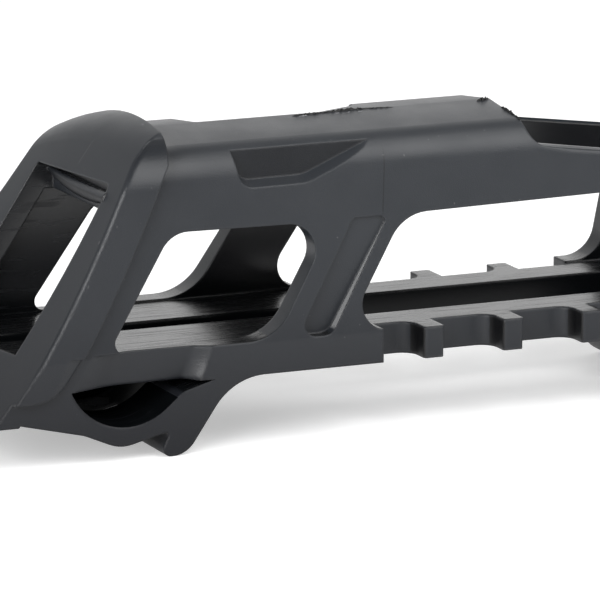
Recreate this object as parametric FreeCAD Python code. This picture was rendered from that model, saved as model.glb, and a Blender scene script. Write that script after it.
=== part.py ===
"""Motorcycle chain guide: one moulding that keeps a 520 chain in line with the rear sprocket.

The chain runs along X, into the slanted mouth at low X and out over the rear deck at high X.
Y is across, with the outer side of the machine at low Y, and Z is up from the running surface.
All sizes are millimetres. The origin moves to the first rear bolt at the very end.
"""

import FreeCAD, Part
import math
import os
from FreeCAD import Vector

# Body across its width
HALF_WIDTH = 19.25        # outer wall at the running surface
WALL_LEAN = 0.15          # the walls lean in by this much for each millimetre of height
INNER_HALF = 15.05        # inner wall at the running surface
INNER_LEAN = 0.10         # draft of the inner wall, so the wall thins towards the top
CREST_Z = 31.5            # roof ridge
ROOF_FALL = 0.12          # the roof falls to each side by this slope
SHOULDER_R = 6.0
ROOF_THICK = 3.2
ROOF_CUT_Z = 26.3         # the far wall's top beside the roof opening
CEILING_R = 3.0

# Body along its length
FRONT_X = -45.0           # stock in front of the mouth, trimmed away by its slanted face
ROOF_END_X = 58.0
REAR_X = 112.0
WALL_TOP_Z = 26.6         # top of the open walls just behind the roof
WALL_TOP_FALL = 0.12
REAR_RAKE = 0.35
ROOF_END_R = 3.5
REAR_TOP_R = 7.0
REAR_FOOT_R = 2.0
STOCK_TOP_Z = 45.0
STOCK_BOTTOM_Z = -25.0
JOIN = 1.0                # a piece reaches this far into the one that it joins
CLEAR = 1.0               # a cut runs this far past the faces that it opens
TOUCHING = 0.01           # closer than this is the same place

# Deck that the chain slides on
DECK_THICK = 5.0
SILL_Z = 0.3              # the window sills stand just over the running surface
RAIL_IN = 7.0
RAIL_OUT = 14.0
GROOVE_W = 5.0
GROOVE_DEPTH = 2.5
SLOT_X0 = 27.0            # wide slot between the rails
SLOT_X1 = 100.0
SLOT_R = 4.0
TAB_X = 31.0              # the full width deck stops here and starts again at REAR_TAB_X
REAR_TAB_X = 79.0

# Ribs on the outer sides of the rails
RIB_X0 = 38.0
RIB_PITCH = 13.7
RIB_COUNT = 3
RIB_W = 3.4
RIB_ROOT_R = 2.6
RIB_EDGE_R = 0.5
FAR_RIB_SHIFT = 1.3       # the far ribs stand this much further back

# Slanted mouth and its rim. Each is a twisted face through three arcs, near, middle and far,
# and every arc goes through three points of (x, z)
MOUTH_FACE = (
    ((-32.3, -8.0), (-18.7, 11.5), (-10.4, 26.5)),
    ((-35.4, -8.0), (-21.3, 11.8), (-10.6, 30.0)),
    ((-38.5, -8.0), (-24.0, 12.0), (-15.0, 23.8)),
)
RIM_BACK = (
    ((-25.6, -8.0), (-11.9, 12.2), (-3.8, 28.5)),
    ((-28.7, -8.0), (-14.6, 12.2), (-4.3, 28.5)),
    ((-31.8, -8.0), (-17.3, 12.2), (-4.9, 28.5)),
)
FACE_SPAN = 22.0          # the near and the far arc stand this far from the middle
FACE_FOOT_SLOPE = 0.7     # how the face goes on below its arc
BROW = ((6.2, 4.2), (6.2, 4.1), (7.6, 3.6))     # end of the rounding over each arc's upper end
BROW_RISE = 0.06
RIM_PROUD = 1.5
RIM_CREST_Z = 34.9
RIM_INNER_CREST_Z = 31.0
RIM_FALL = 0.11
RIM_CORNER_R = 5.0
RIM_FOOT_Z = -6.0
RIM_FOOT_R = 8.0          # the rim's lower end runs out into the arm with this rounding
RIM_EDGE_R = 0.9          # rounded edge between the rim's front and its near side
RIM_REACH = 20.0          # nothing of the rim lies behind this
MOUTH_WALL = 4.0          # depth of the frame in the mouth and of the chin plate
MOUTH_BAR = 7.0           # depth of the bar across its top
BAR_Z = (21.0, 20.2)      # underside of the bar, near and far
MOUTH_HALF = 12.0         # the frame narrows the tunnel to this
FRAME_JOIN = 0.9          # the frame reaches this far into the walls
FRAME_CREST_Z = 31.3      # and up to here into the rim
MOUTH_TOP = (25.4, 24.9)  # upper edge of the mouth at its near and its far end
MOUTH_CORNER_R = 0.8
CHIN_Z = -9.7
LIP_X = -12.2
LIP_HALF = 12.5           # half the lip's length, with its ends in the frame's sides
LIP_R = (1.1, 1.3, 0.4)   # radius of the lip at its near end, in the middle and at its far end
LIP_TOP = (24.3, 24.2, 24.0)      # its upper side at the same places
LIP_BACK = 0.5            # the hollow over the lip goes in to this far behind its centre

# Arms under the deck, which straddle the swing arm's tab
TAB_GAP = (-7.0, 1.0)
ARM_TOP_Z = -3.0          # the arms start inside the deck
RING_CENTRE = (-12.0, -1.2)
RING_BORE_R = 10.0
RING_FLARE_DEG = -50.0    # here the round opening leaves its circle and runs out to the rear
RING_FLARE = (3.7, 3.0, 2.6)      # its straight length, its bend's radius and where its tip is
REAR_ARM = (84.0, 110.0)
REAR_ARM_ROOT = (6.0, 3.0)        # where its front meets the deck: length and radius
REAR_ARM_FOOT_R = 5.5
BOLT_R = 3.25
BOLT_Z = -10.0
BOLT_X = (90.0, 104.0)
BOLT_BOSS_R = 6.5

# Dished patch below the front window, in plan at its top and at its bottom
SCOOP_TOP = ((-24.0, -21.3), (-12.0, -17.4, 12.0), (-0.6, -17.8, 1.5), (6.5, -21.3))
SCOOP_Z = (0.4, -5.6)
SCOOP_LOW = ((-26.5, -21.3), (-14.0, -16.6, 12.0), (-1.9, -16.6, 1.2), (1.2, -21.3))

# Shoulder pocket, its cut-out on the far side, and the shallow slot on the middle pillar
POCKET_DEPTH = 2.0
POCKET_DRAFT = 0.45       # its lower side rises by this for each millimetre of depth
POCKET_REACH = 6.0        # its cut reaches this far out of the wall and into it
MARK_DEPTH = 2.0
MARK_LEAN = 0.06          # its floor leans less than the wall, so it runs out to the top


def corner_cut(before, vertex, after, radius):
    """Where a corner of the given radius leaves its two sides, and the arc's middle point."""
    to_before = (before - vertex).normalize()
    to_after = (after - vertex).normalize()
    half = to_before.getAngle(to_after) / 2
    reach = radius / math.tan(half)
    bisector = (to_before + to_after).normalize()
    middle = vertex + bisector * (radius / math.sin(half) - radius)
    return vertex + to_before * reach, middle, vertex + to_after * reach


def outline(points, place):
    """A closed face from (u, v) or (u, v, corner radius), each put in space by place(u, v)."""
    spots = [place(p[0], p[1]) for p in points]
    radii = [p[2] if len(p) > 2 else 0.0 for p in points]
    edges = []
    pieces = []
    count = len(points)
    for i in range(count):
        if radii[i] > 0:
            start, middle, end = corner_cut(spots[i - 1], spots[i], spots[(i + 1) % count], radii[i])
            pieces.append((start, end, Part.Arc(start, middle, end).toShape()))
        else:
            pieces.append((spots[i], spots[i], None))
    for i in range(count):
        edge = pieces[i][2]
        if edge is not None:
            edges.append(edge)
        here = pieces[i][1]
        there = pieces[(i + 1) % count][0]
        if here.distanceToPoint(there) > TOUCHING:
            edges.append(Part.makeLine(here, there))
    return Part.Face(Part.Wire(edges))


def side_prism(points, y_low, y_high):
    """A prism across the body from an outline in side view."""
    face = outline(points, lambda x, z: Vector(x, y_low, z))
    return face.extrude(Vector(0, y_high - y_low, 0))


def plan_prism(points, z_low, z_high):
    """An upright prism from an outline seen from above."""
    face = outline(points, lambda x, y: Vector(x, y, z_low))
    return face.extrude(Vector(0, 0, z_high - z_low))


def long_prism(points, x_low, x_high):
    """A prism along the body from an outline in end view."""
    face = outline(points, lambda y, z: Vector(x_low, y, z))
    return face.extrude(Vector(x_high - x_low, 0, 0))


def mirror_y(shape):
    return shape.mirror(Vector(0, 0, 0), Vector(0, 1, 0))


def both_sides(shape):
    return [shape, mirror_y(shape)]


def gable(half_width, lean, crest, fall, corner_r):
    """End view of leaning walls under a shallow gable, from the bottom of the stock."""
    top_y = (half_width - lean * crest) / (1 - lean * fall)
    top_z = crest - fall * top_y
    return [
        (-half_width, STOCK_BOTTOM_Z),
        (-half_width, 0.0),
        (-top_y, top_z, corner_r),
        (0.0, crest),
        (top_y, top_z, corner_r),
        (half_width, 0.0),
        (half_width, STOCK_BOTTOM_Z),
    ]


def leaning_prism(half_width, lean=WALL_LEAN):
    """Everything between two planes that lean, as the outer walls do."""
    top_half = half_width - lean * STOCK_TOP_Z
    section = [
        (-half_width, STOCK_BOTTOM_Z),
        (-half_width, 0.0),
        (-top_half, STOCK_TOP_Z),
        (top_half, STOCK_TOP_Z),
        (half_width, 0.0),
        (half_width, STOCK_BOTTOM_Z),
    ]
    return long_prism(section, FRONT_X, REAR_X)


def tangent_arc(before, end):
    """The arc that goes on smoothly from an edge to a point."""
    start = before.valueAt(before.LastParameter)
    heading = before.tangentAt(before.LastParameter)
    chord = end - start
    along = Vector(chord).normalize()
    aside = (heading - along * heading.dot(along)).normalize()
    rise = chord.Length / 2 * math.tan(heading.getAngle(chord) / 2)
    return Part.Arc(start, start + chord / 2 + aside * rise, end).toShape()


def front_wire(profile, y, setback, brow):
    """Outline in the plane at y of all that lies in front of an arc and over its top end."""
    low, middle, high = [Vector(x + setback, y, z) for x, z in profile]
    edges = [Part.Arc(low, middle, high).toShape()]
    end = high
    if brow:
        end = high + Vector(brow[0], 0, brow[1])
        edges.append(tangent_arc(edges[0], end))
        over = end + Vector(4 * RIM_REACH, 0, 4 * RIM_REACH * BROW_RISE)
    else:
        over = Vector(end.x, y, STOCK_TOP_Z - CLEAR)
    ahead = 2 * FRONT_X
    drop = low.z - STOCK_BOTTOM_Z
    corners = [
        end,
        over,
        Vector(over.x, y, STOCK_TOP_Z),
        Vector(ahead, y, STOCK_TOP_Z),
        Vector(ahead, y, STOCK_BOTTOM_Z),
        Vector(low.x - FACE_FOOT_SLOPE * drop, y, STOCK_BOTTOM_Z),
        low,
    ]
    edges += [Part.makeLine(p, q) for p, q in zip(corners, corners[1:])]
    return Part.Wire(edges)


def slanted_front(profiles, setback=0.0, brows=(None, None, None)):
    """All that lies in front of a twisted face through the near, middle and far profiles."""
    stations = (-FACE_SPAN, 0.0, FACE_SPAN)
    wires = [front_wire(p, y, setback, brow) for p, y, brow in zip(profiles, stations, brows)]
    return Part.makeLoft(wires, True, False)


def hull():
    """The walls and roof as one long shell over the deck, open at the top behind the roof."""
    solid = long_prism(gable(HALF_WIDTH, WALL_LEAN, CREST_Z, ROOF_FALL, SHOULDER_R), FRONT_X, REAR_X)
    rear_top = WALL_TOP_Z - WALL_TOP_FALL * (REAR_X - ROOF_END_X)
    side = [
        (FRONT_X, STOCK_TOP_Z),
        (ROOF_END_X, STOCK_TOP_Z),
        (ROOF_END_X, WALL_TOP_Z, ROOF_END_R),
        (REAR_X - REAR_RAKE * rear_top, rear_top, REAR_TOP_R),
        (REAR_X, 0.0),
        (REAR_X, -DECK_THICK, REAR_FOOT_R),
        (FRONT_X, -DECK_THICK),
    ]
    solid = solid.common(side_prism(side, -HALF_WIDTH, HALF_WIDTH))
    return solid.cut(tunnel())


def tunnel():
    """The chain's way through: inside of the walls, down to the running surface."""
    crest = CREST_Z - ROOF_THICK
    section = gable(INNER_HALF, INNER_LEAN, crest, ROOF_FALL, CEILING_R)
    above_deck = [(-INNER_HALF, 0.0)] + section[2:5] + [(INNER_HALF, 0.0)]
    return long_prism(above_deck, FRONT_X, REAR_X + CLEAR)


def rim():
    """The thick frame round the slanted mouth, proud of the walls and the roof."""
    half = HALF_WIDTH + RIM_PROUD
    outer = gable(half, WALL_LEAN, RIM_CREST_Z, RIM_FALL, RIM_CORNER_R)
    band = long_prism(outer, FRONT_X, RIM_REACH)
    band = band.common(slanted_front(RIM_BACK))
    band = band.common(front_box(RIM_FOOT_Z, STOCK_TOP_Z))
    band = band.makeFillet(RIM_FOOT_R, rim_foot_edges(band))
    band = band.cut(slanted_front(MOUTH_FACE, brows=BROW))
    band = band.makeFillet(RIM_EDGE_R, [near_front_edge(band)])
    inner = gable(INNER_HALF, INNER_LEAN, RIM_INNER_CREST_Z, ROOF_FALL, CEILING_R)
    return band.cut(long_prism(inner, FRONT_X, RIM_REACH))


def edge_middle(edge):
    return edge.valueAt((edge.FirstParameter + edge.LastParameter) / 2)


def rim_foot_edges(band):
    """The edge across the rim where its back meets its lower end."""
    low = [e for e in band.Edges if abs(edge_middle(e).z - RIM_FOOT_Z) < TOUCHING]
    return [e for e in low if e.BoundBox.YLength > HALF_WIDTH and edge_middle(e).x > FRONT_X + CLEAR]


def near_front_edge(band):
    """The long front edge of the rim on its near side, which turns into the edges next to it."""
    long_edges = [e for e in band.Edges if e.Length > HALF_WIDTH and edge_middle(e).y < -INNER_HALF]
    return min(long_edges, key=lambda e: edge_middle(e).x)


def front_box(z_low, z_high):
    """A box wider than the body, round its front end and between two heights."""
    wide = 4 * HALF_WIDTH
    return Part.makeBox(RIM_REACH - FRONT_X, wide, z_high - z_low, Vector(FRONT_X, -wide / 2, z_low))


def mouth_frame():
    """The frame just behind the slanted face, which narrows the tunnel and is open at the floor."""
    section = gable(INNER_HALF + FRAME_JOIN, INNER_LEAN, FRAME_CREST_Z, ROOF_FALL, CEILING_R)
    block = long_prism(section, FRONT_X, RIM_REACH).common(front_box(-JOIN, STOCK_TOP_Z))
    sides = block.common(slanted_front(MOUTH_FACE, MOUTH_WALL)).cut(mouth_gap(BAR_Z, RIM_REACH))
    bar = block.common(slanted_front(MOUTH_FACE, MOUTH_BAR)).cut(bar_underside())
    return sides.fuse(bar).cut(mouth_gap(MOUTH_TOP, LIP_X + LIP_BACK))


def bar_underside():
    """All that lies under the bar across the mouth's top."""
    wide = 2 * HALF_WIDTH
    low = -JOIN - CLEAR
    section = [(-wide, low), (-wide, BAR_Z[0]), (wide, BAR_Z[1]), (wide, low)]
    return long_prism(section, FRONT_X, RIM_REACH)


def mouth_gap(top, x_high):
    """The space between the frame's sides, up to a top edge given at its near and far end."""
    low = -JOIN - CLEAR
    section = [
        (-MOUTH_HALF, low),
        (-MOUTH_HALF, top[0], MOUTH_CORNER_R),
        (MOUTH_HALF, top[1], MOUTH_CORNER_R),
        (MOUTH_HALF, low),
    ]
    return long_prism(section, FRONT_X, x_high)


def mouth_lip():
    """The rounded lip that hangs under the mouth's upper edge."""
    rings = []
    for y, radius, top in zip((-LIP_HALF, 0.0, LIP_HALF), LIP_R, LIP_TOP):
        circle = Part.Circle(Vector(LIP_X, y, top - radius), Vector(0, 1, 0), radius)
        rings.append(Part.Wire(circle.toShape()))
    return Part.makeLoft(rings, True, False)


def chin():
    """The plate that carries the slanted face down below the deck."""
    plate = front_box(CHIN_Z, -JOIN).common(leaning_prism(HALF_WIDTH))
    return plate.common(slanted_front(MOUTH_FACE, MOUTH_WALL))


def window_one():
    """Side view of the front window."""
    return [
        (-15.3, SILL_Z, 1.6),
        (-3.6, 18.0, 5.2),
        (23.5, 17.6, 4.2),
        (12.9, SILL_Z, 8.5),
    ]


def window_two():
    """Side view of the long window, which reaches down to the rails."""
    return [
        (24.5, SILL_Z, 3.9),
        (35.5, 17.8, 7.5),
        (87.4, 18.6, 5.0),
        (85.2, SILL_Z, 5.0),
    ]


def pocket_outline():
    """Side view of the shoulder pocket."""
    return [
        (6.6, 33.5),
        (8.6, 23.7, 2.5),
        (19.6, 23.8, 6.0),
        (34.2, 29.2, 1.5),
        (35.2, 33.5),
    ]


def mark_outline():
    """Side view of the shallow slanted slot on the middle pillar."""
    return [
        (16.4, 0.2, 1.8),
        (22.3, 0.2, 2.6),
        (32.9, 17.8, 0.8),
        (27.0, 17.8, 0.8),
    ]


def pocket():
    """The shoulder pocket: its floor is parallel to the wall and its sides have a draft."""
    wall_y = HALF_WIDTH - WALL_LEAN * pocket_outline()[1][1]
    wires = []
    for inward in (-POCKET_REACH, POCKET_REACH):
        wires.append(side_wire(pocket_outline(), inward - wall_y, POCKET_DRAFT * inward))
    return Part.makeLoft(wires, True, True).cut(leaning_prism(HALF_WIDTH - POCKET_DEPTH))


def side_wire(points, y, rise):
    """An outline in side view as a wire in the plane at y, raised a little."""
    return outline(points, lambda x, z: Vector(x, y, z + rise)).OuterWire


def mark():
    """The shallow slot on the pillar, deepest at its round lower end."""
    tool = side_prism(mark_outline(), -2 * HALF_WIDTH, 0.0)
    return tool.cut(leaning_prism(HALF_WIDTH - MARK_DEPTH, MARK_LEAN))


def roof_opening():
    """The opening in the far half of the roof, out through the far shoulder."""
    far = HALF_WIDTH + 2
    plan = [
        (7.6, 0.4, 1.0),
        (30.0, 0.4, 10.0),
        (38.0, 7.6, 9.0),
        (41.0, far),
        (7.6, far),
    ]
    return plan_prism(plan, ROOF_CUT_Z, STOCK_TOP_Z)


def side_scoop():
    """Below the front window the wall is dished, with a ramp behind."""
    levels = zip((SCOOP_TOP, SCOOP_LOW), SCOOP_Z)
    wires = [outline(plan, lambda x, y: Vector(x, y, z)).OuterWire for plan, z in levels]
    return Part.makeLoft(wires, True, True)


def rail_sides():
    """The space outside the rails, between the two full width ends of the deck."""
    plan = [
        (TAB_X, -RAIL_OUT),
        (REAR_TAB_X, -RAIL_OUT),
        (REAR_TAB_X, -2 * HALF_WIDTH),
        (TAB_X, -2 * HALF_WIDTH),
    ]
    return plan_prism(plan, STOCK_BOTTOM_Z, CLEAR)


def rib(x):
    """One rib on a rail: a swept root on its front side and a sharp step behind."""
    inner = -RAIL_OUT + JOIN
    foot = x - 1.5 * RIB_ROOT_R
    plan = [
        (foot, inner),
        (foot, -RAIL_OUT),
        (x, -RAIL_OUT, RIB_ROOT_R),
        (x, -HALF_WIDTH, RIB_EDGE_R),
        (x + RIB_W, -HALF_WIDTH, RIB_EDGE_R),
        (x + RIB_W, inner),
    ]
    return plan_prism(plan, -DECK_THICK, 0.0)


def deck_slot():
    """The groove along the deck and the wide slot between the rails."""
    half = GROOVE_W / 2
    length = REAR_X - FRONT_X + CLEAR
    groove = Part.makeBox(length, GROOVE_W, GROOVE_DEPTH + CLEAR, Vector(FRONT_X, -half, -GROOVE_DEPTH))
    plan = [
        (SLOT_X0, -RAIL_IN, SLOT_R),
        (SLOT_X1, -RAIL_IN, SLOT_R),
        (SLOT_X1, RAIL_IN, SLOT_R),
        (SLOT_X0, RAIL_IN, SLOT_R),
    ]
    return groove.fuse(plan_prism(plan, -DECK_THICK - CLEAR, CLEAR))


def front_arm_outline():
    """Side view of the front arms: band, ring and hooked foot."""
    return [
        (-40.0, ARM_TOP_Z),
        (-40.0, -6.9),
        (-19.2, -11.9, 5.0),
        (-13.2, -14.5, 6.0),
        (-4.8, -12.4, 0.5),
        (-6.8, BOLT_Z - BOLT_BOSS_R, 1.2),
        (-2.3, BOLT_Z - BOLT_BOSS_R, 4.4),
        (5.5, -5.15, 10.0),
        (16.0, -4.85),
        (16.0, ARM_TOP_Z),
    ]


def front_arms():
    """The two arms under the front of the deck, with the round opening through both."""
    arms = arm_pair(front_arm_outline())
    bore = Part.makeCylinder(
        RING_BORE_R, 4 * HALF_WIDTH, Vector(RING_CENTRE[0], -2 * HALF_WIDTH, RING_CENTRE[1]), Vector(0, 1, 0)
    )
    opening = bore.fuse(side_prism(flare_outline(), -2 * HALF_WIDTH, 2 * HALF_WIDTH))
    return arms.cut(opening.common(front_box(STOCK_BOTTOM_Z, -DECK_THICK)))


def flare_outline():
    """Side view of the part of the opening that leaves the circle and ends in a tip at the deck."""
    turn = math.radians(RING_FLARE_DEG)
    length, bend_r, tip_x = RING_FLARE
    x = RING_CENTRE[0] + RING_BORE_R * math.cos(turn)
    z = RING_CENTRE[1] + RING_BORE_R * math.sin(turn)
    return [
        RING_CENTRE,
        (x, z),
        (x - length * math.sin(turn), z + length * math.cos(turn), bend_r),
        (tip_x, -DECK_THICK),
    ]


def rear_arms():
    """The two arms under the rear of the deck, with the bolts' bosses."""
    low, high = REAR_ARM
    root, root_r = REAR_ARM_ROOT
    bottom = BOLT_Z - BOLT_BOSS_R
    side = [
        (low - root, ARM_TOP_Z),
        (low - root, -DECK_THICK),
        (low, -DECK_THICK, root_r),
        (low, bottom, REAR_ARM_FOOT_R),
        (high, bottom, REAR_ARM_FOOT_R),
        (high, ARM_TOP_Z),
    ]
    return arm_pair(side)


def arm_pair(side):
    """An outline in side view, made into one arm each side of the tab's gap."""
    near = side_prism(side, -HALF_WIDTH, TAB_GAP[0])
    far = side_prism(side, TAB_GAP[1], HALF_WIDTH)
    return near.fuse(far)


def bolt_bores():
    length = 2 * HALF_WIDTH + 2 * CLEAR
    return [
        Part.makeCylinder(BOLT_R, length, Vector(x, -length / 2, BOLT_Z), Vector(0, 1, 0))
        for x in BOLT_X
    ]


def chain_guide():
    """The whole moulding."""
    body = hull()
    body = body.fuse([mouth_frame(), chin(), front_arms(), rear_arms()])
    body = body.cut(slanted_front(MOUTH_FACE, brows=BROW))
    body = body.fuse([rim(), mouth_lip()])
    cuts = [deck_slot(), roof_opening()]
    cuts += [side_prism(window_one(), -2 * HALF_WIDTH, 2 * HALF_WIDTH)]
    cuts += [side_prism(window_two(), -2 * HALF_WIDTH, 2 * HALF_WIDTH)]
    cuts += both_sides(side_scoop())
    cuts += both_sides(rail_sides())
    cuts += [pocket()]
    cuts += both_sides(mark())
    body = body.cut(cuts)
    ribs = []
    for i in range(RIB_COUNT):
        x = RIB_X0 + i * RIB_PITCH
        ribs += [rib(x), mirror_y(rib(x + FAR_RIB_SHIFT))]
    body = body.fuse(ribs)
    body = body.cut(bolt_bores())
    body = body.removeSplitter()
    body.translate(Vector(-BOLT_X[0], 0, -BOLT_Z))
    return body


os.makedirs("parts", exist_ok=True)
guide = chain_guide()
print("valid", guide.isValid(), "solids", len(guide.Solids), "faces", len(guide.Faces))
print("volume cm3", round(guide.Volume / 1000, 2), "box", guide.BoundBox)
guide.exportStep("parts/chain_guide.step")
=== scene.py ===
"""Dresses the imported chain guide: moulded near-black plastic on a white studio floor."""

import math
import random
from types import SimpleNamespace

import bpy
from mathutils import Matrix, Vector


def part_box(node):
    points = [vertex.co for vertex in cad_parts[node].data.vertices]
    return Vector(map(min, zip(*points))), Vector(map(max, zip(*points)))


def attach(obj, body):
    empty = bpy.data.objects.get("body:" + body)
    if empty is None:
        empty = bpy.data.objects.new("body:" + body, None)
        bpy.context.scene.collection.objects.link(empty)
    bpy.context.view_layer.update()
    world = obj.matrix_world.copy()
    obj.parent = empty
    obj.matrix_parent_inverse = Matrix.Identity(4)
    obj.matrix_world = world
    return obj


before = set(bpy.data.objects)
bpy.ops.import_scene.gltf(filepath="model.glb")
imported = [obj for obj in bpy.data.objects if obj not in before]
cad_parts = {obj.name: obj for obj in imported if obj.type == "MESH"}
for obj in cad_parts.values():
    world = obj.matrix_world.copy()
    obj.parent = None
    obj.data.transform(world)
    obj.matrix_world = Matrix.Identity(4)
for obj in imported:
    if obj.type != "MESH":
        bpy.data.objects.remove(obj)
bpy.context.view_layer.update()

MM = 0.001

# Camera, fitted to the photograph
CAMERA_AT = Vector((-456.8, -894.4, 226.8)) * MM
CAMERA_TARGET = Vector((-64.8, 0.0, 11.6)) * MM
LENS = 380.2
SENSOR = 36.0
NEAREST_SEEN = 0.05

# Two soft lamps: one in front and above, one in front of the mouth
LAMP_TARGET = (-0.06, 0.0, 0.01)
TOP_LAMP = SimpleNamespace(at=(0.34, -0.50, 0.72), size=(0.75, 0.74), power=6.6)
SIDE_LAMP = SimpleNamespace(at=(-0.82, -0.53, 0.385), size=(0.7, 0.6), power=8.0)

# A dim room with a white wall behind the guide, placed by the x, y and z of a direction
ROOM_LIGHT = 0.32
WALL_LIGHT = 1.25
WALL_BACK = (0.1, 0.6)
WALL_ACROSS = (-0.50, 0.15)
WALL_FAR_LEFT = 0.15
WALL_UP = (0.45, 0.92)

# The floor lies just under the guide. Its lift is seen by the camera and in reflections only.
FLOOR_REACH = 6.0
FLOOR_GAP = 0.02 * MM
FLOOR_COLOUR = 0.80
FLOOR_ROUGHNESS = 0.9
FLOOR_LIFT = 0.40
FLOOR_MIRRORED = 0.75

# The moulding's shape that the finish follows, in the CAD's frame. Half widths are at the deck.
DECK_Z = 10.0 * MM
SLOT_HALF = 7.0 * MM
WALL_HALF = 19.25 * MM
WALL_LEAN = 0.15
INNER_HALF = 15.05 * MM
INNER_LEAN = 0.10
CREST_Z = 41.5 * MM
ROOF_FALL = 0.12
CEILING_Z = 38.6 * MM
SKIN_Z = CEILING_Z + 1.5 * MM
ROOF_END_X = -32.0 * MM
RIM_BACK_X = -89.0 * MM
RING_X = -102.0 * MM
RING_Z = 8.8 * MM
RING_R = 10.0 * MM
POCKET_FOOT_Z = 32.0 * MM
RIB_START_X = -58.0 * MM
RUBBED_MOUTH_X = -97.0 * MM

# The slanted slot on the near pillar: its slant, and where its edges would meet z = 0
PILLAR_SLANT = 0.602
MARK_X = (-80.5 * MM, -72.8 * MM)

# How far masks reach past their surfaces. Heights are over the deck, depths below the wall's plane.
REACH = 0.4 * MM
BORE_REACH = 0.3 * MM
BORE_TOP = -3.0 * MM
RAIL_REACH = 1.0 * MM
RIB_TOP = -0.2 * MM
WALL_END_FOOT = 20.0 * MM
SUNK = (0.3 * MM, 0.9 * MM)
PROUD = -0.3 * MM
PROUD_REACH = 5.0 * MM
RIM_BLEND = 3.0 * MM
WALL_END_BLEND = 3.0 * MM
WALL_ROLL_START = 1.0 * MM
WALL_ROLL_FULL = 9.0 * MM
TUNNEL_RISE = (1.0 * MM, 6.0 * MM)

# Which way the marked surfaces face, as one part of their normal. A pair is a soft limit.
UPWARD = (0.8, 0.95)
ROOFWARD = (0.6, 0.9)
SIDEWARD = (0.3, 0.6)
BORE_SIDEWARD = 0.5
POCKET_UPWARD = 0.4
TUNNEL_FORWARD = -0.4
STEP_FORWARD = -0.6
MARK_SIDE_FORWARD = (-0.8, -0.5)
RIB_SIDE_FORWARD = (-0.8, -0.35)
FILLET_START = (0.15, 0.45)
FILLET_END = (0.85, 0.97)
FILLET_FORWARD = -0.2

# Roundings added by the shading: roof's crown, rim's flank, wall behind the roof, slot's rear side
CROWN_HALF = 11.0 * MM
CROWN_FLAT = 0.10
CROWN_BOW = 0.17
RIM_ROLL_Z = 34.5 * MM
RIM_ROLL = 75.0
WALL_TOP_Z = 36.6 * MM
WALL_TOP_FALL = 0.12
WALL_TOP_ROLL = 1.1 * MM
WALL_ROLL = 290.0
MARK_DRAFT = 1.05
EDGE_R = 0.5 * MM
LOW_EDGE_R = 0.9 * MM
EDGE_BLEND = 1.0 * MM
EDGE_TURN = (0.86, 0.98)
BEVEL_SAMPLES = 6

# Fine lines: the near wall's parting line, and a painted highlight on a small step on the bar over the
# mouth
LINE_HALF = (0.05 * MM, 0.16 * MM)
PARTING_X = -60.65 * MM
PARTING_LEAN = 0.095
PARTING_FOOT = (27.0 * MM, 29.0 * MM)
PARTING_HEAD = (37.0 * MM, 38.5 * MM)
STEP_Y = 10.6 * MM
STEP_LEAN = 0.30
STEP_FOOT = (36.0 * MM, 37.0 * MM)
STEP_HEAD = (40.0 * MM, 41.0 * MM)

# Colours outside, and how strongly each goes over the body's
BODY_DARK = (0.0185, 0.0215, 0.026, 1)
BODY_LIGHT = (0.0215, 0.0245, 0.0295, 1)
# Painted shade: darker towards the bottom, and somewhat darker all over at the mouth's end
FOOT_SHADE_COLOUR = (0.006, 0.0065, 0.009, 1)
FOOT_SHADE_RISE = (-12.0 * MM, 26.0 * MM)
FOOT_SHADE_ALONG = (-120.0 * MM, -45.0 * MM)
FOOT_SHADE_SHARE = 0.7
# Painted shade on the pocket's floor
POCKET_SHADE_COLOUR = (0.003, 0.0035, 0.005, 1)
POCKET_SHADE_SHARE = 0.75
PARTING_COLOUR = (0.003, 0.0035, 0.004, 1)
PARTING_SHARE = 0.6
# Painted highlight along the small step on the bar
STEP_HIGHLIGHT_COLOUR = (0.10, 0.10, 0.105, 1)
STEP_HIGHLIGHT_SHARE = 0.5
DUST_COLOUR = (0.12, 0.12, 0.125, 1)
DUST_SHARE = 0.5
# Painted shade on the ribs' forward sides
RIB_SIDE_SHADE_COLOUR = (0.001, 0.001, 0.0015, 1)
# Painted highlight on the ribs' edges
RIB_EDGE_HIGHLIGHT_COLOUR = (0.06, 0.06, 0.064, 1)
RIB_EDGE_HIGHLIGHT_SHARE = 0.6

# Colours inside, which are painted shade, and of broken plastic, whose near-black one is painted shade
DECK_SHADE_COLOUR = (0.0025, 0.003, 0.0035, 1)
SCRATCH_COLOUR = (0.009, 0.0095, 0.011, 1)
TUNNEL_SHADE_COLOUR = (0.011, 0.0115, 0.013, 1)
# Painted shade on the flash strips and the roof's ragged end
TORN_SHADE_COLOUR = (0.002, 0.002, 0.002, 1)
WHITENED_COLOUR = (0.30, 0.30, 0.31, 1)

# How strongly each surface reflects, and how much less in the hollows
SHINE = 0.5
FOOT_SHINE = 0.30
SHINE_RISE = (-12.0 * MM, 22.0 * MM)
DECK_DULL = 0.55
DECK_DULL_RISE = 4.0 * MM
POCKET_DULL = 0.2
WALL_END_DULL = (0.85, 1.0)

# Roughness, from the smoothest to the roughest spot
OUTER_ROUGH = (0.38, 0.44)
INNER_ROUGH = (0.24, 0.42)
TORN_ROUGH = (0.4, 0.6)
FILLET_SMOOTH = 0.7

# Grain of the surface: noises per metre, how rare their peaks are, and depths
GRAIN_SIZE = 5000.0
CLOUD_SIZE = 120.0
DUST_SIZE = 1500.0
DUST_PEAKS = (0.85, 0.88)
TORN_SIZE = 3000.0
SCRATCH_STRETCH = (60.0, 2600.0, 400.0)
SCRATCH_PEAKS = (0.52, 0.66)
GRAIN_DEPTH = 0.03 * MM
SCRATCH_DEPTH = 0.01 * MM
TORN_DEPTH = 0.05 * MM
NOISE_SPAN = (0.3, 0.7)

# Thin flap at the rear edge of the roof opening, anticlockwise in plan, in millimetres
ROOF_FLAP = ((-61, 0.4), (-52, 0.2), (-52.5, 7.4), (-54.2, 5.9), (-55.9, 4.6), (-57.6, 3.3), (-59.3, 2.0))
FLAP_RISE = 0.03 * MM
FLAP_DEPTH = 0.8 * MM

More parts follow.
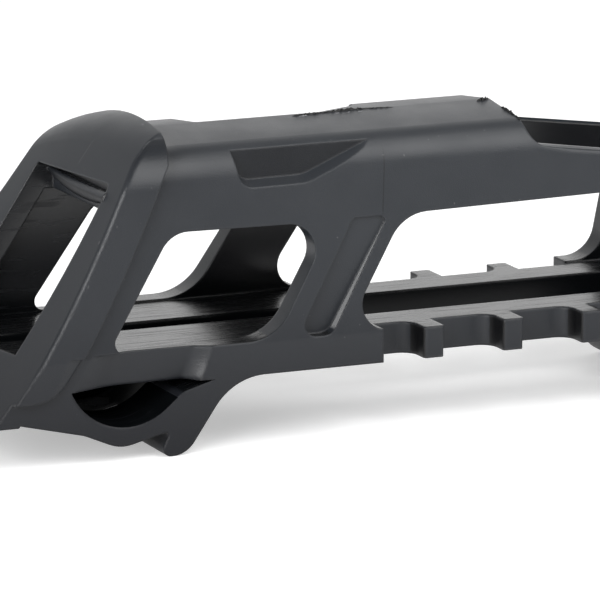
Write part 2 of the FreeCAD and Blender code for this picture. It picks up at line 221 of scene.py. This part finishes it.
# Ragged strips on the roof, in millimetres: name, start, end, half width, height, steps, seed
RIDGE_FLASH = (
    ("ridge_flash_front", (-66.5, -0.9), (-60.5, -0.5), 0.22, 0.35, 26, 3),
    ("ridge_flash_middle", (-60.9, -0.5), (-53.5, -0.1), 0.20, 0.45, 30, 5),
    ("ridge_flash_rear", (-54.5, -0.1), (-49.0, -0.5), 0.18, 0.22, 20, 8),
)
TORN_END = (
    ("roof_tear", (-34.6, -0.8), (-32.2, -0.2), 0.45, 0.65, 14, 21),
    ("roof_teeth", (-32.1, -4.6), (-32.1, -11.6), 0.35, 0.5, 26, 27),
)
STRIP_SUNK = 0.15 * MM

# A strip's least width and rise, as shares, and how raggedly they grow towards its middle
THIN_WIDTH = 0.15
THIN_RISE = 0.05
RAGGED_WIDTH = (0.5, 1.0)
RAGGED_RISE = (0.35, 1.0)
RAGGED_LEAN = (-0.9, 0.9)

# Pale flecks beside the flash, in millimetres: start along the roof, length
FLECKS = ((-65.6, 1.6), (-59.4, 0.9), (-57.3, 0.6), (-55.4, 0.9))
FLECK_Y = (-1.25, -1.15)
FLECK_SIZE = 0.12
FLECK_STEPS = 8
FLECK_SEED = 11


class Tree:
    """Short names for building the nodes of a material or a world."""

    def __init__(self, owner):
        owner.use_nodes = True
        self.nodes = owner.node_tree.nodes
        self.links = owner.node_tree.links

    def node(self, kind, **values):
        made = self.nodes.new("ShaderNode" + kind)
        for key, value in values.items():
            setattr(made, key, value)
        return made

    def put(self, value, socket):
        if isinstance(value, bpy.types.NodeSocket):
            self.links.new(value, socket)
        else:
            socket.default_value = value

    def math(self, operation, a, b=0.0, c=0.0):
        made = self.node("Math", operation=operation)
        for value, socket in zip((a, b, c), made.inputs):
            self.put(value, socket)
        return made.outputs[0]

    def both(self, first, *others):
        for other in others:
            first = self.math("MULTIPLY", first, other)
        return first

    def either(self, first, *others):
        for other in others:
            first = self.math("MAXIMUM", first, other)
        return first

    def opposite(self, value):
        return self.math("SUBTRACT", 1.0, value)

    def less(self, a, b):
        return self.math("LESS_THAN", a, b)

    def more(self, a, b):
        return self.math("GREATER_THAN", a, b)

    def square(self, value):
        return self.both(value, value)

    def size(self, value):
        return self.math("ABSOLUTE", value)

    def above(self, value, limit):
        """How far value is over limit, or zero."""
        return self.math("MAXIMUM", self.math("SUBTRACT", value, limit), 0.0)

    def split(self, vector):
        made = self.node("SeparateXYZ")
        self.put(vector, made.inputs[0])
        return made.outputs

    def ramp(self, value, low, high, to_low=0.0, to_high=1.0):
        """Smoothly from to_low at low to to_high at high."""
        made = self.node("MapRange", interpolation_type="SMOOTHSTEP")
        self.put(value, made.inputs["Value"])
        self.put(low, made.inputs["From Min"])
        self.put(high, made.inputs["From Max"])
        self.put(to_low, made.inputs["To Min"])
        self.put(to_high, made.inputs["To Max"])
        return made.outputs["Result"]

    def fade(self, value, low, high):
        """Smoothly from one at low to zero at high."""
        return self.ramp(value, low, high, 1.0, 0.0)

    def noise(self, vector, scale, detail=2.0, roughness=0.5):
        made = self.node("TexNoise")
        self.put(vector, made.inputs["Vector"])
        self.put(scale, made.inputs["Scale"])
        self.put(detail, made.inputs["Detail"])
        self.put(roughness, made.inputs["Roughness"])
        return made.outputs["Fac"]

    def stretch(self, vector, scale):
        made = self.node("Mapping")
        self.put(vector, made.inputs["Vector"])
        made.inputs["Scale"].default_value = scale
        return made.outputs["Vector"]

    def mix(self, factor, a, b):
        """A mix of two colours, which are this node's inputs 6 and 7 and its output 2."""
        made = self.node("Mix", data_type="RGBA")
        self.put(factor, made.inputs[0])
        self.put(a, made.inputs[6])
        self.put(b, made.inputs[7])
        return made.outputs[2]

    def paint(self, colour, mask, share, new):
        """The colour, with a share of the new one over it where the mask is one."""
        return self.mix(self.both(mask, share), colour, new)

    def bump(self, height, distance, strength=1.0, normal=None):
        made = self.node("Bump")
        self.put(height, made.inputs["Height"])
        made.inputs["Distance"].default_value = distance
        self.put(strength, made.inputs["Strength"])
        if normal is not None:
            self.put(normal, made.inputs["Normal"])
        return made.outputs["Normal"]


def add_camera():
    data = bpy.data.cameras.new("camera")
    data.lens = LENS
    data.sensor_width = SENSOR
    data.clip_start = NEAREST_SEEN
    camera = bpy.data.objects.new("camera", data)
    camera.location = CAMERA_AT
    camera.rotation_euler = (CAMERA_TARGET - CAMERA_AT).to_track_quat("-Z", "Y").to_euler()
    bpy.context.scene.collection.objects.link(camera)
    bpy.context.scene.camera = camera


def add_softbox(name, box):
    data = bpy.data.lights.new(name, "AREA")
    data.shape = "RECTANGLE"
    data.size, data.size_y = box.size
    data.energy = box.power
    lamp = bpy.data.objects.new(name, data)
    lamp.location = box.at
    towards = Vector(LAMP_TARGET) - Vector(box.at)
    lamp.rotation_euler = towards.to_track_quat("-Z", "Y").to_euler()
    bpy.context.scene.collection.objects.link(lamp)


def add_world():
    """A dim room with a white wall behind the guide; the camera itself sees plain white."""
    world = bpy.data.worlds.new("world")
    bpy.context.scene.world = world
    tree = Tree(world)
    x, y, z = tree.split(tree.node("TexCoord").outputs["Generated"])
    across = tree.ramp(x, *WALL_ACROSS, WALL_FAR_LEFT, 1.0)
    wall = tree.both(tree.ramp(y, *WALL_BACK), across, tree.fade(z, *WALL_UP))
    light = tree.math("MULTIPLY_ADD", wall, WALL_LIGHT - ROOM_LIGHT, ROOM_LIGHT)
    seen = tree.node("LightPath").outputs["Is Camera Ray"]
    shader = tree.nodes["Background"]
    shader.inputs["Color"].default_value = (1, 1, 1, 1)
    tree.put(tree.either(light, seen), shader.inputs["Strength"])


def floor_material():
    """Pale grey, lifted to white for the camera and partly for reflections."""
    material = bpy.data.materials.new("floor")
    tree = Tree(material)
    shader = tree.nodes["Principled BSDF"]
    shader.inputs["Base Color"].default_value = (FLOOR_COLOUR, FLOOR_COLOUR, FLOOR_COLOUR, 1)
    shader.inputs["Roughness"].default_value = FLOOR_ROUGHNESS
    shader.inputs["Emission Color"].default_value = (1, 1, 1, 1)
    path = tree.node("LightPath").outputs
    seen = tree.math("MULTIPLY_ADD", path["Is Glossy Ray"], FLOOR_MIRRORED, path["Is Camera Ray"])
    tree.put(tree.both(seen, FLOOR_LIFT), shader.inputs["Emission Strength"])
    return material


def add_mesh(name, corners, faces, material):
    mesh = bpy.data.meshes.new(name)
    mesh.from_pydata(corners, [], faces)
    mesh.materials.append(material)
    made = bpy.data.objects.new(name, mesh)
    bpy.context.scene.collection.objects.link(made)
    return made


def add_floor(height):
    reach = FLOOR_REACH
    corners = [(-reach, -reach, 0), (reach, -reach, 0), (reach, reach, 0), (-reach, reach, 0)]
    floor = add_mesh("floor", corners, [(0, 1, 2, 3)], floor_material())
    floor.location.z = height


def read_surface(tree):
    """The place on the moulding and the way it faces, from which all masks are made."""
    at = SimpleNamespace()
    at.place = tree.node("TexCoord").outputs["Object"]
    at.x, at.y, at.z = tree.split(at.place)
    at.face = tree.node("NewGeometry").outputs["Normal"]
    at.face_x, at.face_y, at.face_z = tree.split(at.face)
    at.faces_up = tree.ramp(at.face_z, *UPWARD)
    at.faces_aside = tree.size(at.face_y)
    at.aside = tree.size(at.y)
    at.height = tree.math("SUBTRACT", at.z, DECK_Z)
    at.roof_height = tree.math("MULTIPLY_ADD", at.aside, ROOF_FALL, at.z)
    wall = tree.math("MULTIPLY_ADD", at.height, -WALL_LEAN, WALL_HALF)
    at.depth = tree.math("SUBTRACT", wall, at.aside)
    at.near_side = tree.less(at.y, -INNER_HALF)
    return at


def ring_bore(tree, at):
    """The surface inside the round opening under the mouth."""
    over = tree.math("SUBTRACT", at.z, RING_Z)
    along = tree.math("SUBTRACT", at.x, RING_X)
    from_ring = tree.math("SQRT", tree.math("ADD", tree.square(over), tree.square(along)))
    close = tree.less(from_ring, RING_R + BORE_REACH)
    return tree.both(close, tree.less(at.height, BORE_TOP), tree.less(at.faces_aside, BORE_SIDEWARD))


def tunnel(tree, at):
    """The walls and the ceiling that the chain passes, and the sides of the slot."""
    inner_half = tree.math("MULTIPLY_ADD", at.height, -INNER_LEAN, INNER_HALF + REACH)
    between = tree.both(tree.less(at.aside, inner_half), tree.less(at.roof_height, CEILING_Z))
    over_slot = tree.less(at.aside, SLOT_HALF + REACH)
    over_deck = tree.either(tree.more(at.height, 0.0), over_slot)
    return tree.both(between, tree.more(at.face_x, TUNNEL_FORWARD), over_deck)


def pocket(tree, at):
    """The floor of the pocket in the near shoulder."""
    sunk = tree.both(tree.ramp(at.depth, *SUNK), tree.opposite(at.inside))
    return tree.both(sunk, tree.more(at.z, POCKET_FOOT_Z), tree.less(at.face_z, POCKET_UPWARD))


def mark_side(tree, at):
    """The rear side of the slanted slot on the near pillar."""
    slanted = tree.math("MULTIPLY_ADD", at.z, -PILLAR_SLANT, at.x)
    marked = tree.both(tree.more(slanted, MARK_X[0]), tree.less(slanted, MARK_X[1]))
    rear = tree.fade(at.face_x, *MARK_SIDE_FORWARD)
    return tree.both(marked, at.near_side, tree.more(at.height, 0.0), rear)


def rim_fillet(tree, at):
    """The rounded edges of the rim, where it turns from the mouth to the side."""
    start = tree.ramp(at.faces_aside, *FILLET_START)
    turning = tree.both(start, tree.fade(at.faces_aside, *FILLET_END))
    return tree.both(turning, tree.less(at.x, RIM_BACK_X), tree.less(at.face_x, FILLET_FORWARD))


def wall_end(tree, at):
    """The tops of the walls behind the roof, which shine less, the far one least."""
    behind = tree.ramp(at.x, ROOF_END_X, ROOF_END_X + WALL_END_BLEND)
    dull = tree.ramp(at.y, -INNER_HALF, INNER_HALF, *WALL_END_DULL)
    return tree.both(behind, tree.more(at.height, WALL_END_FOOT), at.faces_up, dull)


def fine_line(tree, value, line, height, foot, head):
    """A thin line where value is line, which fades in over foot and out over head."""
    beside = tree.size(tree.math("SUBTRACT", value, line))
    return tree.both(tree.fade(beside, *LINE_HALF), tree.ramp(height, *foot), tree.fade(height, *head))


def parting_line(tree, at):
    leaning = tree.math("MULTIPLY_ADD", at.z, -PARTING_LEAN, at.x)
    line = fine_line(tree, leaning, PARTING_X, at.z, PARTING_FOOT, PARTING_HEAD)
    return tree.both(line, tree.less(at.y, 0.0))


# A painted highlight along a small step on the front of the bar over the mouth
def bar_step_highlight(tree, at):
    leaning = tree.math("MULTIPLY_ADD", at.z, STEP_LEAN, at.y)
    line = fine_line(tree, leaning, STEP_Y, at.z, STEP_FOOT, STEP_HEAD)
    return tree.both(line, tree.less(at.face_x, STEP_FORWARD))


def add_masks(tree, at):
    """Where each kind of surface is, and the noises that vary them."""
    at.rails = tree.both(tree.less(at.z, DECK_Z + RAIL_REACH), at.faces_up)
    at.bore = ring_bore(tree, at)
    at.inside = tree.either(tunnel(tree, at), at.bore)
    at.smooth = tree.either(at.rails, at.inside)
    at.pocket = pocket(tree, at)
    at.mark_side = mark_side(tree, at)
    at.cloud = tree.noise(at.place, CLOUD_SIZE, 3.0)
    at.grain = tree.noise(at.place, GRAIN_SIZE, 2.0, 0.6)
    along = tree.noise(tree.stretch(at.place, SCRATCH_STRETCH), 1.0, 4.0, 0.65)
    rubbed = tree.either(at.rails, tree.less(at.x, RUBBED_MOUTH_X))
    at.scratches = tree.both(tree.ramp(along, *SCRATCH_PEAKS), rubbed)


def soften_edges(tree, at):
    """The normal rounded over the edges, more so below the deck, and how far it is turned."""
    soft = tree.node("Bevel", samples=BEVEL_SAMPLES)
    radius = tree.ramp(at.z, DECK_Z - EDGE_BLEND, DECK_Z + EDGE_BLEND, LOW_EDGE_R, EDGE_R)
    tree.put(radius, soft.inputs["Radius"])
    turned = tree.node("VectorMath", operation="DOT_PRODUCT")
    tree.put(soft.outputs["Normal"], turned.inputs[0])
    tree.put(at.face, turned.inputs[1])
    at.soft = soft.outputs["Normal"]
    at.on_edge = tree.fade(turned.outputs["Value"], *EDGE_TURN)


def outer_colour(tree, at):
    """Near-black, with painted shade towards the feet, in the pocket and on the ribs' sides, painted
    highlights on the ribs' edges and the bar's step, a dark parting line and dust.
    """
    colour = tree.mix(at.cloud, BODY_DARK, BODY_LIGHT)
    # Painted shade on the pocket's floor
    colour = tree.paint(colour, at.pocket, POCKET_SHADE_SHARE, POCKET_SHADE_COLOUR)
    colour = tree.paint(colour, parting_line(tree, at), PARTING_SHARE, PARTING_COLOUR)
    # Painted highlight along the bar's small step
    colour = tree.paint(colour, bar_step_highlight(tree, at), STEP_HIGHLIGHT_SHARE, STEP_HIGHLIGHT_COLOUR)
    dust = tree.ramp(tree.noise(at.place, DUST_SIZE, 0.0), *DUST_PEAKS)
    colour = tree.paint(colour, dust, DUST_SHARE, DUST_COLOUR)
    # Painted shade, darker towards the bottom and somewhat at the mouth's end
    rise = tree.ramp(at.z, *FOOT_SHADE_RISE)
    along = tree.ramp(at.x, *FOOT_SHADE_ALONG, FOOT_SHADE_SHARE, 1.0)
    colour = tree.mix(tree.both(rise, along), FOOT_SHADE_COLOUR, colour)
    ribs = tree.both(tree.less(at.height, RIB_TOP), tree.more(at.x, RIB_START_X), at.near_side)
    # Painted shade on the ribs' forward sides
    rib_side_shade = tree.fade(at.face_x, *RIB_SIDE_FORWARD)
    colour = tree.paint(colour, ribs, rib_side_shade, RIB_SIDE_SHADE_COLOUR)
    # Painted highlight on the ribs' edges
    return tree.paint(colour, tree.both(at.on_edge, ribs), RIB_EDGE_HIGHLIGHT_SHARE, RIB_EDGE_HIGHLIGHT_COLOUR)


def inner_shaded_colour(tree, at):
    """Painted shade inside: black on the deck, with paler scratches and walls."""
    colour = tree.mix(at.scratches, DECK_SHADE_COLOUR, SCRATCH_COLOUR)
    return tree.mix(tree.ramp(at.height, *TUNNEL_RISE), colour, TUNNEL_SHADE_COLOUR)


def moulding_shine(tree, at):
    """Less in the hollows and towards the feet."""
    low = tree.ramp(at.height, 0.0, DECK_DULL_RISE, DECK_DULL, 0.0)
    low = tree.both(low, at.inside, tree.opposite(at.rails))
    hollow = tree.either(low, at.bore, wall_end(tree, at), tree.both(at.pocket, POCKET_DULL))
    return tree.both(tree.ramp(at.z, *SHINE_RISE, FOOT_SHINE, SHINE), tree.opposite(hollow))


def moulding_roughness(tree, at):
    """Matte outside, smoother where the chain runs, on the rim's edges and on the slot's side."""
    made = tree.node("Mix")
    smooth = tree.either(at.smooth, tree.both(rim_fillet(tree, at), FILLET_SMOOTH), at.mark_side)
    tree.put(smooth, made.inputs["Factor"])
    tree.put(tree.ramp(at.cloud, *NOISE_SPAN, *OUTER_ROUGH), made.inputs["A"])
    tree.put(tree.ramp(at.scratches, 0.0, 1.0, *INNER_ROUGH), made.inputs["B"])
    return made.outputs["Result"]


def bow_roof(tree, at, normal):
    """The roof is slightly crowned across."""
    bow = tree.both(tree.square(at.aside), -0.5 * CROWN_BOW / CROWN_HALF)
    crown = tree.math("MULTIPLY_ADD", at.aside, CROWN_FLAT, bow)
    roof = tree.both(tree.more(at.roof_height, SKIN_Z), tree.ramp(at.face_z, *ROOFWARD))
    behind_rim = tree.ramp(at.x, RIM_BACK_X - RIM_BLEND, RIM_BACK_X)
    return tree.bump(crown, 1.0, tree.both(roof, behind_rim), normal)


def roll_rim(tree, at, normal):
    """The rim's flank rolls over towards its crest."""
    rolled = tree.both(tree.square(tree.above(at.z, RIM_ROLL_Z)), -RIM_ROLL)
    proud = tree.both(tree.less(at.depth, PROUD), tree.less(at.x, RIM_BACK_X + PROUD_REACH))
    return tree.bump(rolled, 1.0, tree.both(at.flank, proud), normal)


def roll_wall_top(tree, at, normal):
    """The near wall rolls over to its sloping top behind the roof."""
    along = tree.math("SUBTRACT", at.x, ROOF_END_X)
    top = tree.math("MULTIPLY_ADD", along, -WALL_TOP_FALL, WALL_TOP_Z - WALL_TOP_ROLL)
    rolled = tree.both(tree.square(tree.above(at.z, top)), -WALL_ROLL)
    behind = tree.ramp(at.x, ROOF_END_X + WALL_ROLL_START, ROOF_END_X + WALL_ROLL_FULL)
    return tree.bump(rolled, 1.0, tree.both(at.flank, behind, at.near_side), normal)


def moulding_normal(tree, at):
    at.flank = tree.ramp(at.faces_aside, *SIDEWARD)
    normal = bow_roof(tree, at, at.soft)
    normal = roll_rim(tree, at, normal)
    normal = roll_wall_top(tree, at, normal)
    normal = tree.bump(at.y, 1.0, tree.both(at.mark_side, MARK_DRAFT), normal)
    normal = tree.bump(at.grain, GRAIN_DEPTH, tree.opposite(at.smooth), normal)
    return tree.bump(at.scratches, SCRATCH_DEPTH, at.rails, normal)


def moulding_material():
    """Near-black plastic: spark-eroded outside, smooth and scratched where the chain runs."""
    material = bpy.data.materials.new("moulding")
    tree = Tree(material)
    shader = tree.nodes["Principled BSDF"]
    at = read_surface(tree)
    add_masks(tree, at)
    soften_edges(tree, at)
    # Inside, where the chain runs and in the round opening, the colour is painted shade
    colour = tree.mix(at.smooth, outer_colour(tree, at), inner_shaded_colour(tree, at))
    tree.put(colour, shader.inputs["Base Color"])
    tree.put(moulding_shine(tree, at), shader.inputs["Specular IOR Level"])
    tree.put(moulding_roughness(tree, at), shader.inputs["Roughness"])
    tree.put(moulding_normal(tree, at), shader.inputs["Normal"])
    return material


def torn_material(name, colour):
    """Broken plastic along the flash and the roof's ragged end, in the given colour; the near-black one
    is painted shade.
    """
    material = bpy.data.materials.new(name)
    tree = Tree(material)
    shader = tree.nodes["Principled BSDF"]
    shader.inputs["Base Color"].default_value = colour
    grain = tree.noise(tree.node("TexCoord").outputs["Object"], TORN_SIZE, 3.0, 0.6)
    tree.put(tree.ramp(grain, *NOISE_SPAN, *TORN_ROUGH), shader.inputs["Roughness"])
    tree.put(tree.bump(grain, TORN_DEPTH), shader.inputs["Normal"])
    return material


def add_piece(name, corners, faces, material):
    """A mesh that is part of the moulding."""
    piece = add_mesh(name, corners, faces, material)
    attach(piece, "root")


def on_roof(x, y):
    """A point on the roof, for a place measured in millimetres."""
    return Vector((x * MM, y * MM, CREST_Z - ROOF_FALL * abs(y) * MM))


def ragged_corners(start, end, half_width, height, steps, dice):
    """Near foot, top and far foot of each cross-section of a ragged strip."""
    corners = []
    side = (end - start).cross(Vector((0, 0, 1))).normalized()
    below = Vector((0, 0, -STRIP_SUNK))
    for step in range(steps + 1):
        along = step / steps
        grown = math.sin(math.pi * along) ** 0.5
        foot = start.lerp(end, along)
        wide = half_width * (THIN_WIDTH + grown * dice.uniform(*RAGGED_WIDTH))
        rise = height * (THIN_RISE + grown * dice.uniform(*RAGGED_RISE))
        lean = wide * dice.uniform(*RAGGED_LEAN)
        corners.append(foot + side * wide + below)
        corners.append(foot + side * lean + Vector((0, 0, rise)))
        corners.append(foot - side * wide + below)
    return corners


def add_strip(row, material):
    """A closed ragged strip, thin at both ends, that stands on the roof."""
    name, start, end, half_width, height, steps, seed = row
    dice = random.Random(seed)
    corners = ragged_corners(on_roof(*start), on_roof(*end), half_width * MM, height * MM, steps, dice)
    last = 3 * steps
    faces = [(0, 1, 2), (last + 2, last + 1, last)]
    for a in range(0, last, 3):
        faces += [(a, a + 3, a + 4, a + 1), (a + 1, a + 4, a + 5, a + 2), (a + 2, a + 5, a + 3, a)]
    add_piece(name, corners, faces, material)


def add_roof_flap(material):
    """The thin edge of the roof behind its opening, which rises smoothly towards the tail."""
    top = [on_roof(x, y) + Vector((0, 0, FLAP_RISE)) for x, y in ROOF_FLAP]
    below = [corner - Vector((0, 0, FLAP_DEPTH)) for corner in top]
    count = len(top)
    faces = [tuple(range(count)), tuple(reversed(range(count, 2 * count)))]
    for a in range(count):
        b = (a + 1) % count
        faces.append((a + count, b + count, b, a))
    add_piece("roof_flap", top + below, faces, material)


def add_torn_edges():
    # The near-black flash and ragged end are painted shade; the flecks are pale
    dark = torn_material("torn_shade", TORN_SHADE_COLOUR)
    pale = torn_material("whitened", WHITENED_COLOUR)
    for row in RIDGE_FLASH:
        add_strip(row, dark)
    for number, (x, length) in enumerate(FLECKS):
        start = (x, FLECK_Y[0])
        end = (x + length, FLECK_Y[1])
        row = ("fleck_%d" % number, start, end, FLECK_SIZE, FLECK_SIZE, FLECK_STEPS, FLECK_SEED + number)
        add_strip(row, pale)
    for row in TORN_END:
        add_strip(row, dark)


def dress_moulding():
    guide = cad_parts["chain_guide"]
    guide.data.materials.clear()
    material = moulding_material()
    guide.data.materials.append(material)
    add_roof_flap(material)
    add_torn_edges()


bpy.context.scene.view_settings.view_transform = "Standard"
add_camera()
add_world()
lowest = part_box("chain_guide")[0]
add_floor(lowest.z - FLOOR_GAP)
add_softbox("top", TOP_LAMP)
add_softbox("side", SIDE_LAMP)
dress_moulding()
